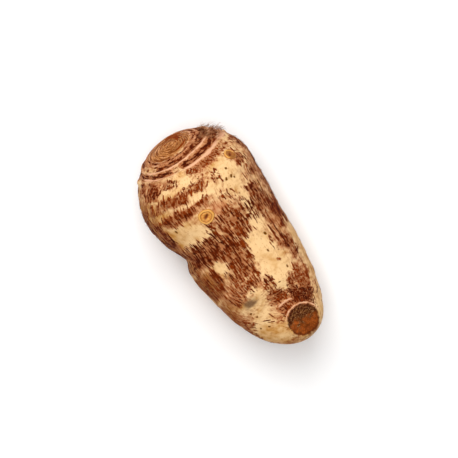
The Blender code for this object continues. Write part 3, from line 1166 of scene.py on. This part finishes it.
@dataclass(frozen=True)
class SkinFinish:
    """Flesh-coloured skin, its pinkish film and the brown husk."""

    cream: tuple = srgb(237, 196, 141)
    honey: tuple = srgb(194, 135, 60)
    tan: tuple = srgb(180, 116, 58)
    film: tuple = srgb(192, 124, 80)
    rosy: tuple = srgb(152, 84, 43)
    amber: tuple = srgb(140, 80, 20)
    mat: tuple = srgb(150, 83, 42)
    ridge: tuple = srgb(226, 172, 134)
    red_brown: tuple = srgb(140, 55, 4)
    brown: tuple = srgb(104, 34, 1)
    dark: tuple = srgb(62, 14, 0)
    umber: tuple = srgb(124, 64, 20)
    ochre: tuple = srgb(196, 130, 72)
    slate: tuple = srgb(110, 76, 50)
    pore: tuple = srgb(112, 66, 14)
    speck: tuple = srgb(172, 122, 80)
    bark: tuple = srgb(112, 66, 26)
    rust: tuple = srgb(156, 76, 22)
    cocoa: tuple = srgb(112, 50, 10)

    def build(self) -> bpy.types.Material:
        """Makes the material.

        Returns:
            The material, on the layers kept on the mesh.
        """
        g = SkinGraph()
        film = (g.layer["film"] + 0.9 * (g.mottle - 0.5) + 0.6 * (g.line - 0.5)).rise(0.15, 0.85)
        husk = self.husk(g)
        mask = husk.rise(0.28, 0.6)
        colour = g.mix(mask, self.skin(g, film), self.brown_of(g, husk))
        colour = g.mix(g.layer["cork"], colour, self.scar(g))
        roughness = 0.5 + 0.12 * film + 0.24 * mask
        lift = 0.8 * mask * (0.5 + g.strand) + 0.3 * g.line * g.layer["mat"] + 0.15 * g.speck
        lift = lift + 0.7 * g.layer["cork"] * g.crumb + 0.5 * g.layer["disc"] * g.rings
        return g.finish(colour, roughness, lift, 0.0003)

    def skin(self, g: SkinGraph, film: Value) -> Value:
        """The skin between the husk: flesh, film, streaks, the bruise, the disc, pores and crests, with
        painted shade at the flanks.

        Args:
            g: The node tree.
            film: How much film there is.

        Returns:
            Its colour.
        """
        warm_and_shade = g.layer["warm_and_shade"]
        # Partly painted shade: this deeper yellow, and the amber below, is the flesh's own colour in patches
        # but stands in for shade at the flanks.
        yellow = (warm_and_shade + 1.3 * (g.cloud - 0.5) + 0.9 * (g.mottle - 0.5)).rise(0.0, 1.0)
        flesh = g.mix(yellow, self.cream, self.honey)
        flesh = g.mix(0.7 * (0.6 * g.speck + 0.4 * g.strand).rise(0.56, 0.66), flesh, self.tan)
        tint = g.mix((0.5 * g.mottle + 0.5 * g.fine).rise(0.42, 0.6), self.film, self.rosy)
        tint = g.mix(0.85 * warm_and_shade.rise(0.35, 0.85), tint, self.amber)
        tint = g.mix(0.7 * g.layer["mat"].rise(0.3, 1.0), tint, self.mat)
        streak = (0.55 * g.strand + 0.45 * g.fine).rise(0.53, 0.62) * film * (1.0 - g.layer["disc"])
        skin = g.mix(0.94 * film, flesh, tint)
        skin = g.mix(0.78 * streak, skin, self.red_brown)
        skin = g.mix((g.layer["grey"] * (0.7 + 0.5 * g.speck)).least(0.9), skin, self.slate)
        skin = g.mix(g.layer["disc"], skin, self.disc(g))
        skin = g.mix(g.layer["pore"].rise(0.12, 0.5), skin, self.pore)
        return g.mix((g.layer["ridge"] + 0.5 * (g.speck - 0.5)).rise(0.3, 0.8), skin, self.ridge)

    def disc(self, g: SkinGraph) -> Value:
        """The colour of the apex's ringed disc.

        Args:
            g: The node tree.

        Returns:
            The colour.
        """
        disc = g.mix((g.rings + 0.35 * (g.speck - 0.5)).rise(0.4, 0.58), self.umber, self.ochre)
        disc = g.mix(0.6 * (g.rings + 0.3 * (g.crumb - 0.5)).rise(0.6, 0.7), disc, self.ridge)
        return g.mix(0.7 * g.crumb.rise(0.56, 0.66), disc, self.cocoa)

    def husk(self, g: SkinGraph) -> Value:
        """How thick the husk is: the fibres drawn on the mesh, and finer ones where it is matted.

        Args:
            g: The node tree.

        Returns:
            The thickness: husk shows from about 0.3 up.
        """
        mat, scales = g.layer["mat"], g.layer["scales"]
        threads = 2.9 * (g.line - 0.5) + 1.3 * (g.tie - 0.5) + 0.7 * (g.fine - 0.5)
        weave = mat * (1.0 - 0.7 * scales) * threads
        cracks = scales * (1.0 - g.cells.rise(0.02, 0.1))
        return g.layer["husk"] * (1.0 - 0.14 * mat) + weave + 0.3 * (g.fine - 0.5) - 0.2 * cracks

    def brown_of(self, g: SkinGraph, husk: Value) -> Value:
        """The husk's colour, darker where it is thick.

        Args:
            g: The node tree.
            husk: How thick the husk is.

        Returns:
            The colour.
        """
        depth = (g.layer["deep"] + 0.7 * (husk - 0.7) + 0.5 * (g.fine - 0.5)).rise(0.0, 1.05)
        brown = g.mix((2.0 * depth).least(1.0), self.red_brown, self.brown)
        return g.mix((2.0 * depth - 1.0).most(0.0), brown, self.dark)

    def scar(self, g: SkinGraph) -> Value:
        """The colour of the scar's face: rusty cork, a dark crust on one half and a dark edge.

        Args:
            g: The node tree.

        Returns:
            The colour.
        """
        cork = g.mix((0.3 * g.speck + 0.3 * g.crumb + 0.4 * g.stain).rise(0.42, 0.56), self.rust, self.cocoa)
        crust = g.mix(g.crumb.rise(0.4, 0.6), self.dark, self.bark)
        crust = g.mix((g.crumb * 0.5 + g.speck * 0.5).rise(0.56, 0.64), crust, self.speck)
        half = (g.layer["crust"] + 1.6 * (g.crumb - 0.5) + 0.8 * (g.mottle - 0.5)).rise(0.15, 0.85)
        cork = g.mix(half, cork, crust)
        return g.mix(0.75 * g.layer["edge"] * (0.5 + g.speck).least(1.0), cork, self.dark)


@dataclass(frozen=True)
class EyeFinish:
    """A bud eye: an orange-yellow rim round a brown slit."""

    rim: tuple = srgb(226, 168, 86)
    well: tuple = srgb(200, 116, 38)
    groove: tuple = srgb(126, 64, 16)
    slit: tuple = srgb(112, 46, 8)

    def build(self) -> bpy.types.Material:
        """Makes the material.

        Returns:
            The material, on the layers kept on each eye.
        """
        g = Graph("bud_eye_finish", 0.15)
        grain = g.place("grain")
        spots = g.noise(grain, 1.6, 3.0)
        well = g.mix(spots.rise(0.3, 0.7), self.well, self.rim)
        colour = g.mix(g.attribute("rim"), well, self.rim)
        colour = g.mix((g.attribute("groove") * (0.7 + 0.6 * spots)).least(1.0), colour, self.groove)
        colour = g.mix(g.attribute("dusk") * (0.6 + 0.6 * spots), colour, self.groove)
        colour = g.mix(g.attribute("slit"), colour, self.slit)
        return g.finish(colour, 0.42, spots, 0.0001)


@dataclass(frozen=True)
class FibreFinish:
    """Loose dry fibres."""

    pale: tuple = srgb(190, 134, 92)
    brown: tuple = srgb(96, 50, 24)

    def build(self) -> bpy.types.Material:
        """Makes the material.

        Returns:
            The material, on Object coordinates.
        """
        g = Graph("loose_fibre_finish")
        share = g.noise(g.node("ShaderNodeTexCoord", output="Object"), 420.0, 2.0)
        return g.finish(g.mix(share.rise(0.35, 0.65), self.brown, self.pale), 0.8)


@dataclass(frozen=True)
class FloorFinish:
    """The pale plain floor."""

    white: tuple = srgb(250, 250, 250)

    def build(self) -> bpy.types.Material:
        """The material."""
        return Graph("floor_finish").finish(self.white, 0.9)


# ---------------------------------------------------------------- mesh tools


def fresh(name: str) -> bpy.types.Object:
    """Names the object that an operator has just added.

    Args:
        name: Its new name.

    Returns:
        The object.
    """
    made = bpy.context.object
    made.name = name
    made.data.name = name
    return made


def clear_selection() -> None:
    """Deselects everything."""
    bpy.ops.object.select_all(action="DESELECT")


def keep_layer(mesh: bpy.types.Mesh, name: str, values: np.ndarray) -> None:
    """Keeps one number, or one vector, for each vertex of a mesh.

    Args:
        mesh: The mesh.
        name: What the layer is kept as.
        values: The numbers, or one row for each vector.
    """
    flat = np.ascontiguousarray(values, dtype=np.float32)
    if flat.ndim == 2:
        mesh.attributes.new(name, "FLOAT_VECTOR", "POINT").data.foreach_set("vector", flat.ravel())
    else:
        mesh.attributes.new(name, "FLOAT", "POINT").data.foreach_set("value", flat)


def rows_of(items: bpy.types.bpy_prop_collection, name: str) -> np.ndarray:
    """Reads one vector from each of a mesh's vertices or normals.

    Args:
        items: The vertices or the normals.
        name: What the vector is called in them.

    Returns:
        One row for each.
    """
    flat = np.empty(len(items) * 3, np.float32)
    items.foreach_get(name, flat)
    return flat.reshape(-1, 3).astype(float)


def place_vertices(mesh: bpy.types.Mesh, places: np.ndarray) -> None:
    """Moves the mesh's vertices to places given one row each."""
    mesh.vertices.foreach_set("co", places.astype(np.float32).ravel())
    mesh.update()


def dress(piece: bpy.types.Object, material: bpy.types.Material) -> None:
    """Gives a piece its finish and body.

    Args:
        piece: The piece.
        material: Its finish.
    """
    piece.data.materials.clear()
    piece.data.materials.append(material)
    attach(piece, "root")


# ---------------------------------------------------------------- pieces


@dataclass
class Skin:
    """The corm's whole outside as one closed mesh.

    Attributes:
        chart: The chart of the skin.
        husk: What lies on it.
        probe: How far to each side the skin's slope is measured: mm along, radians round.
        move: The move from the form's own place to the frame, in mm, once it is built.
    """

    chart: SkinChart
    husk: Husk
    probe: tuple[float, float] = (0.4, 0.02)
    move: np.ndarray = field(init=False)

    def build(self, low: Vector, high: Vector, finish: SkinFinish) -> bpy.types.Object:
        """Makes the skin.

        Args:
            low: Lowest corner of the solid, in metres.
            high: Highest corner of the solid.
            finish: The skin's finish.

        Returns:
            The piece.
        """
        chart = self.chart
        clear_selection()
        bpy.ops.mesh.primitive_uv_sphere_add(segments=chart.columns, ring_count=chart.bands, radius=1.0)
        piece = fresh("taro_skin")
        row, column = self.grid_places(rows_of(piece.data.vertices, "co"))
        ring, distance, bearing = (a[row, column] for a in (chart.ring, chart.distance, chart.bearing))
        smooth = chart.form.points(distance, bearing)
        place_vertices(piece.data, smooth)
        normals = rows_of(piece.data.vertex_normals, "vector")
        layers = self.husk.lay()
        raised = smooth + normals * chart.form.relief(ring, distance, bearing)[:, None]
        self.move = self.moved_to(raised, low, high)
        raised += normals * layers["height"][row, column][:, None] + self.move
        raised[:, 2] = np.maximum(raised[:, 2], 0.0)
        place_vertices(piece.data, raised * MM)
        for name, layer in layers.items():
            keep_layer(piece.data, name, layer[row, column])
        keep_layer(piece.data, "grain", self.grain(distance, bearing))
        piece.data.shade_smooth()
        dress(piece, finish.build())
        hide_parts("taro_corm")
        return piece

    def grid_places(self, unit: np.ndarray) -> tuple[np.ndarray, np.ndarray]:
        """Finds the vertices of the unit sphere on the chart.

        Args:
            unit: The vertices, one row each.

        Returns:
            The row and the column of each.
        """
        polar = np.arctan2(np.hypot(unit[:, 0], unit[:, 1]), unit[:, 2])
        turn = np.arctan2(unit[:, 1], unit[:, 0])
        row = np.rint(polar / pi * self.chart.bands).astype(int)
        column = np.rint(turn / (2 * pi) * self.chart.columns).astype(int) % self.chart.columns
        column[(row == 0) | (row == self.chart.bands)] = 0
        return row, column

    def moved_to(self, places: np.ndarray, low: Vector, high: Vector) -> np.ndarray:
        """Works out the move that brings the form over the solid.

        Args:
            places: The form's vertices, in mm.
            low: Lowest corner of the solid, in metres.
            high: Highest corner of the solid.

        Returns:
            The move in mm.
        """
        middle = (places.min(axis=0) + places.max(axis=0)) / 2
        target = np.array(low + high) / 2 / MM
        sink = -self.chart.form.flat_sink - places[:, 2].min()
        return np.array((target[0] - middle[0], target[1] - middle[1], sink))

    def grain(self, distance: np.ndarray, bearing: np.ndarray) -> np.ndarray:
        """Seamless coordinates in mm: two round the corm, one along it."""
        reach = 4.0 + 0.85 * np.maximum(self.chart.form.radius(distance), 0.0)
        return np.column_stack((reach * np.cos(bearing), reach * np.sin(bearing), distance))

    def stand(self, distance: float, bearing: float) -> Matrix:
        """Where something that stands on the skin goes.

        Args:
            distance: Distance from the apex, in mm.
            bearing: Bearing in radians.

        Returns:
            A matrix in metres: X down the corm, Y round it, Z out.
        """
        along = distance + self.probe[0] * np.array((0, 1, -1, 0, 0))
        around = bearing + self.probe[1] * np.array((0, 0, 0, 1, -1))
        here, down, up, left, right = (Vector(p) for p in self.chart.form.points(along, around))
        x = (down - up).normalized()
        z = x.cross(left - right).normalized()
        turn = Matrix((x, z.cross(x), z)).transposed().to_4x4()
        return Matrix.Translation((here + Vector(self.move)) * MM) @ turn


@dataclass
class BudEye:
    """The bud eyes: a turned rim round a slit bud.

    Attributes:
        places: (distance, bearing in degrees, size) of each.
        profile: (radius, height) of the turned form, from its buried skirt to its middle, in mm.
        sides: Corners round it.
        rim: (radius, half width) of the pale rim.
        groove: (radius, half width) of the dark groove inside it.
        skirt: Radii between which the foot darkens.
        slit: (half length, half width, depth) of the slit.
        slit_turn: Usual bearing of the slit on the eye, in degrees.
    """

    places: tuple[tuple[float, float, float], ...] = (
        (49.4, -8.3, 1.0), (26.6, 45.0, 0.8), (35.0, -127.0, 0.9),
        (61.0, 126.0, 0.95), (83.0, -138.0, 0.85), (98.0, 112.0, 0.7),
    )
    profile: Knots = (
        (3.9, -0.9), (3.6, -0.1), (3.35, 0.35), (3.05, 0.72), (2.8, 0.78), (2.5, 0.62), (2.3, 0.42),
        (2.1, 0.5), (1.8, 0.68), (1.45, 0.56), (1.1, 0.36), (0.8, 0.26), (0.5, 0.22), (0.2, 0.2),
    )
    sides: int = 56
    rim: tuple[float, float] = (2.85, 0.35)
    groove: tuple[float, float] = (2.32, 0.16)
    skirt: tuple[float, float] = (3.25, 3.6)
    slit: tuple[float, float, float] = (1.55, 0.7, 0.4)
    slit_turn: float = -62.0

    def model(self) -> bpy.types.Object:
        """Turns one eye.

        Returns:
            Its form, in millimetres at the origin.
        """
        clear_selection()
        bpy.ops.mesh.primitive_circle_add(vertices=self.sides, radius=self.profile[0][0], fill_type="NGON")
        piece = fresh("bud_eye_form")
        bpy.ops.object.mode_set(mode="EDIT")
        bpy.ops.mesh.select_all(action="SELECT")
        bpy.ops.transform.translate(value=(0.0, 0.0, self.profile[0][1]))
        for (outer, low), (inner, high) in zip(self.profile, self.profile[1:]):
            bpy.ops.mesh.inset(thickness=outer - inner, use_even_offset=False)
            bpy.ops.transform.translate(value=(0.0, 0.0, high - low))
        bpy.ops.mesh.poke()
        bpy.ops.object.mode_set(mode="OBJECT")
        return piece

    def build(self, skin: Skin, finish: EyeFinish) -> list[bpy.types.Object]:
        """Makes every eye as its own piece.

        Args:
            skin: The skin that they stand on.
            finish: The eyes' finish.

        Returns:
            The pieces.
        """
        form = self.model()
        material = finish.build()
        rng = np.random.default_rng(SEED + 1)
        pieces = []
        for number, (distance, bearing, size) in enumerate(self.places, start=1):
            mesh = form.data.copy()
            mesh.name = f"bud_eye_{number}"
            piece = bpy.data.objects.new(mesh.name, mesh)
            bpy.context.scene.collection.objects.link(piece)
            self.shape(mesh, rng, worn=0.0 if number == 1 else 0.8)
            mesh.transform(skin.stand(distance, radians(bearing)) @ Matrix.Scale(size * MM, 4))
            mesh.shade_smooth()
            dress(piece, material)
            pieces.append(piece)
        bpy.data.objects.remove(form)
        return pieces

    def shape(self, mesh: bpy.types.Mesh, rng: np.random.Generator, worn: float) -> None:
        """Makes one eye uneven, sinks its slit and keeps its colour layers.

        Args:
            mesh: The eye's mesh, in millimetres at the origin.
            rng: The random source.
            worn: How brown it is, 0 for a fresh one.
        """
        places = rows_of(mesh.vertices, "co")
        reach = np.hypot(places[:, 0], places[:, 1])
        turn = np.arctan2(places[:, 1], places[:, 0])
        start = rng.uniform(0.0, 2 * pi, 3)
        lobes = zip((0.05, 0.03, 0.02), (2, 3, 7), start)
        uneven = sum(tall * np.sin(count * turn + first) for tall, count, first in lobes)
        lean = radians(rng.normal(self.slit_turn, 5.0))
        long = places[:, 0] * cos(lean) + places[:, 1] * sin(lean)
        wide = places[:, 1] * cos(lean) - places[:, 0] * sin(lean)
        half_length, half_width, depth = self.slit
        slit = oval(long / half_length, wide / half_width)
        places[:, :2] *= (1 + uneven)[:, None]
        places[:, 2] += 0.15 * uneven - depth * slit
        place_vertices(mesh, places)
        dusk = np.maximum(rise(2.5 - reach, 0.0, 0.6), rise(wide + 0.3 * long, 0.3, 1.8))
        groove = 0.8 * bump(reach - self.groove[0], self.groove[1])
        keep_layer(mesh, "slit", slit)
        keep_layer(mesh, "dusk", worn * dusk)
        keep_layer(mesh, "rim", bump(reach - self.rim[0], self.rim[1]))
        keep_layer(mesh, "groove", np.maximum(groove, rise(reach, *self.skirt)))
        keep_layer(mesh, "grain", places)


@dataclass
class LooseFibres:
    """Dry strands that stand off the skin, in tufts.

    Attributes:
        tufts: (ring from, ring to, bearing from, bearing to, count, length, height it leans out).
        thickness: Half thickness of a strand at its foot, in mm.
        joints: Stretches that a strand bends in.
        sides: Sides of its section.
    """

    tufts: tuple[tuple[float, ...], ...] = (
        (9.8, 16.6, 66.0, 120.0, 240, 3.5, 0.8), (13.5, 17.5, 118.0, 250.0, 70, 2.4, 0.35),
        (21.5, 26.0, 84.0, 115.0, 60, 2.2, 0.4), (9.8, 12.5, -40.0, 60.0, 45, 1.6, 0.3),
        (14.0, 17.5, -100.0, 60.0, 70, 1.8, 0.25), (25.0, 60.0, 62.0, 105.0, 90, 1.8, 0.45),
        (24.0, 66.0, -100.0, -60.0, 60, 1.7, 0.35), (112.0, 122.0, 10.0, 80.0, 60, 1.7, 0.35),
        (60.0, 72.0, -60.0, 60.0, 60, 1.6, 0.2),
    )
    thickness: float = 0.09
    joints: int = 4
    sides: int = 3

    def build(self, skin: Skin, finish: FibreFinish) -> bpy.types.Object:
        """Makes all strands as one piece.

        Args:
            skin: The skin that they grow on.
            finish: Their finish.

        Returns:
            The piece.
        """
        rng = np.random.default_rng(SEED + 2)
        verts: list[Vector] = []
        faces: list[tuple[int, ...]] = []
        for start, end, low, high, count, length, out in self.tufts:
            for _ in range(int(count)):
                ring = np.array([rng.uniform(start, end)])
                bearing = radians(rng.uniform(low, high))
                distance = float(skin.chart.form.skin_distance(ring, np.array([bearing]))[0])
                stand = skin.stand(distance, bearing)
                verts += self.strand(rng, stand, length * rng.uniform(0.5, 1.2), out)
                faces += self.faces_of_strand(len(verts))
        mesh = bpy.data.meshes.new("loose_fibres")
        mesh.from_pydata([tuple(v) for v in verts], [], faces)
        piece = bpy.data.objects.new("loose_fibres", mesh)
        bpy.context.scene.collection.objects.link(piece)
        mesh.shade_smooth()
        dress(piece, finish.build())
        return piece

    def strand(self, rng: np.random.Generator, stand: Matrix, length: float, out: float) -> list[Vector]:
        """Works out one tapered strand that bends over.

        Args:
            rng: The random source.
            stand: Where it stands on the skin.
            length: Its length in mm.
            out: How far it leans out, as a share of its length.

        Returns:
            Its vertices in metres, one ring of corners after another from its foot.
        """
        heading = rng.normal(0.0, 0.5)
        lean = max(0.05, out * rng.uniform(0.5, 1.6))
        verts = []
        for k in range(self.joints + 1):
            t = k / self.joints
            along = length * t * cos(heading)
            aside = length * t * sin(heading) + 0.25 * length * t * t * rng.uniform(-0.5, 0.5)
            up = 0.05 + length * lean * t * (1.15 - 0.5 * t)
            width = self.thickness * (1.05 - t)
            for corner in range(self.sides):
                turn = 2 * pi * corner / self.sides
                offset = (along, aside + width * cos(turn), up + width * sin(turn) - 0.1 * (k == 0))
                verts.append(stand @ (Vector(offset) * MM))
        return verts

    def faces_of_strand(self, total: int) -> list[tuple[int, ...]]:
        """Lists the faces of the strand that was added last.

        Args:
            total: How many vertices there are, with its own.

        Returns:
            Its sides, its foot and its tip.
        """
        foot, tip = total - self.sides * (self.joints + 1), total - self.sides
        faces = []
        for start in range(foot, tip, self.sides):
            for corner in range(self.sides):
                a, b = start + corner, start + (corner + 1) % self.sides
                faces.append((a, a + self.sides, b + self.sides, b))
        return faces + [tuple(range(foot, foot + self.sides)), tuple(range(total - 1, tip - 1, -1))]


# ---------------------------------------------------------------- studio


@dataclass
class Studio:
    """Floor, lights and camera.

    Attributes:
        target: Point of the floor that the camera looks down at, in mm.
        height: Height of the camera, in mm.
        turn: Degrees that the camera's right is turned from +X.
        lens: Focal length, in mm.
        sensor: Width of the sensor, in mm.
        key: (right, up, height, power) of the key light, in metres and watts.
        overhead: The same for the light overhead.
        lamp_size: Side of each light, in metres.
        world: Brightness of the pale world.
    """

    target: tuple[float, float] = (-5.0, -0.25)
    height: float = 725.0
    turn: float = 52.42
    lens: float = 125.05
    sensor: float = 36.0
    key: tuple[float, float, float, float] = (-0.15, 0.5, 0.9, 7.3)
    overhead: tuple[float, float, float, float] = (0.0, -0.15, 1.2, 7.4)
    lamp_size: float = 0.7
    world: float = 0.25

    def build(self) -> None:
        """Sets the stage."""
        self.floor()
        self.camera()
        self.lights()
        bpy.context.scene.view_settings.view_transform = "Standard"

    def floor(self) -> None:
        """A wide plane under the corm."""
        clear_selection()
        bpy.ops.mesh.primitive_plane_add(size=6.0)
        plane = fresh("floor")
        plane.data.materials.append(FloorFinish().build())
        plane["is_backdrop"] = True

    def camera(self) -> None:
        """A camera straight above."""
        clear_selection()
        place = (self.target[0] * MM, self.target[1] * MM, self.height * MM)
        bpy.ops.object.camera_add(location=place, rotation=(0.0, 0.0, radians(self.turn)))
        camera = fresh("camera")
        camera.data.lens = self.lens
        camera.data.sensor_width = self.sensor
        camera.data.clip_start = 0.01
        bpy.context.scene.camera = camera

    def lights(self) -> None:
        """A key light from the top of the view, a softer one overhead and a pale world."""
        self.lamp("key", *self.key)
        self.lamp("overhead", *self.overhead)
        world = bpy.data.worlds.new("pale_world")
        world.use_nodes = True
        world.node_tree.nodes["Background"].inputs["Color"].default_value = (1.0, 1.0, 1.0, 1.0)
        world.node_tree.nodes["Background"].inputs["Strength"].default_value = self.world
        bpy.context.scene.world = world

    def lamp(self, name: str, right: float, up: float, height: float, power: float) -> None:
        """Adds a square area light that faces the corm.

        Args:
            name: Its name.
            right: How far it stands to the camera's right, in metres.
            up: How far it stands to the top of the view.
            height: Its height above the floor.
            power: Its power in watts.
        """
        clear_selection()
        place = Matrix.Rotation(radians(self.turn), 3, "Z") @ Vector((right, up, height))
        facing = place.to_track_quat("Z", "Y").to_euler()
        bpy.ops.object.light_add(type="AREA", location=place, rotation=facing)
        lamp = fresh(name)
        lamp.data.size = self.lamp_size
        lamp.data.energy = power


# ---------------------------------------------------------------- the whole


def main() -> None:
    """Builds every piece round the frame and reports it."""
    low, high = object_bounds()
    Studio().build()
    form = CormForm()
    chart = SkinChart(form)
    eyes = BudEye()
    skin = Skin(chart, Husk(chart, eyes.places))
    pieces = [skin.build(Vector(low), Vector(high), SkinFinish())]
    pieces += eyes.build(skin, EyeFinish())
    pieces.append(LooseFibres().build(skin, FibreFinish()))
    for piece in pieces:
        log.info("%s: %d faces", piece.name, len(piece.data.polygons))


if __name__ == "__main__":
    logging.basicConfig(level=logging.INFO, format="%(name)s: %(message)s")
    main()
